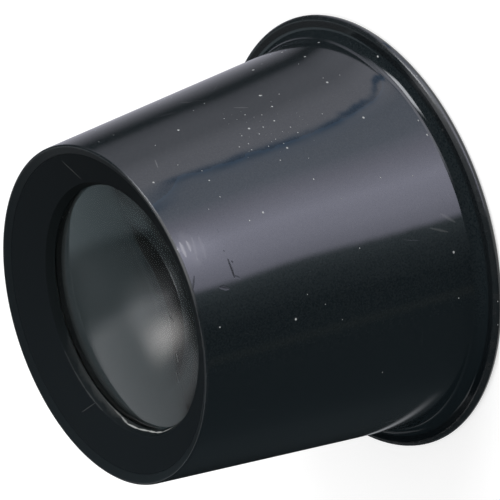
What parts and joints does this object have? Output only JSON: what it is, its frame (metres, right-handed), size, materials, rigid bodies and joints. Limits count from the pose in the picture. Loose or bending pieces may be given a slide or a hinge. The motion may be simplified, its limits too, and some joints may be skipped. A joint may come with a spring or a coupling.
{
  "type": "watchmaker eye loupe",
  "caption": "Tapered black eye cup with a thin flared eye rim, and a biconvex magnifying lens held in its narrow end by a dished retaining ring that unscrews.",
  "frame": {"origin": "centre of the eye rim's foot, on the plane that the loupe stands on", "axes": "+Z along the optical axis, from the eye rim to the lens end; +X and +Y lie in the foot's plane and are free, as the outside is a body of revolution"},
  "size_m": [0.037, 0.037, 0.0265],
  "materials": {
    "housing": "glossy moulded black, lightly scratched",
    "retaining_ring": "satin gloss moulded black",
    "lens": "polished clear glass"
  },
  "bodies": {
    "eye_cup": {"housing": "housing"},
    "lens": {"lens": "lens"},
    "ring": {"retaining_ring": "retaining_ring"}
  },
  "joints": [
    {"name": "lens_lift", "type": "slide", "parent": "eye_cup", "child": "lens", "axis": [0, 0, 1], "range_m": [0, 0.006]},
    {"name": "ring_unscrew", "type": "hinge", "parent": "lens", "child": "ring", "pos_m": [0, 0, 0.0245], "axis": [0, 0, 1], "range_deg": [0, 2160]}
  ],
  "couplings": [
    {"joint": "ring_unscrew", "follows": "lens_lift", "rad_per_m": 6283.2}
  ]
}
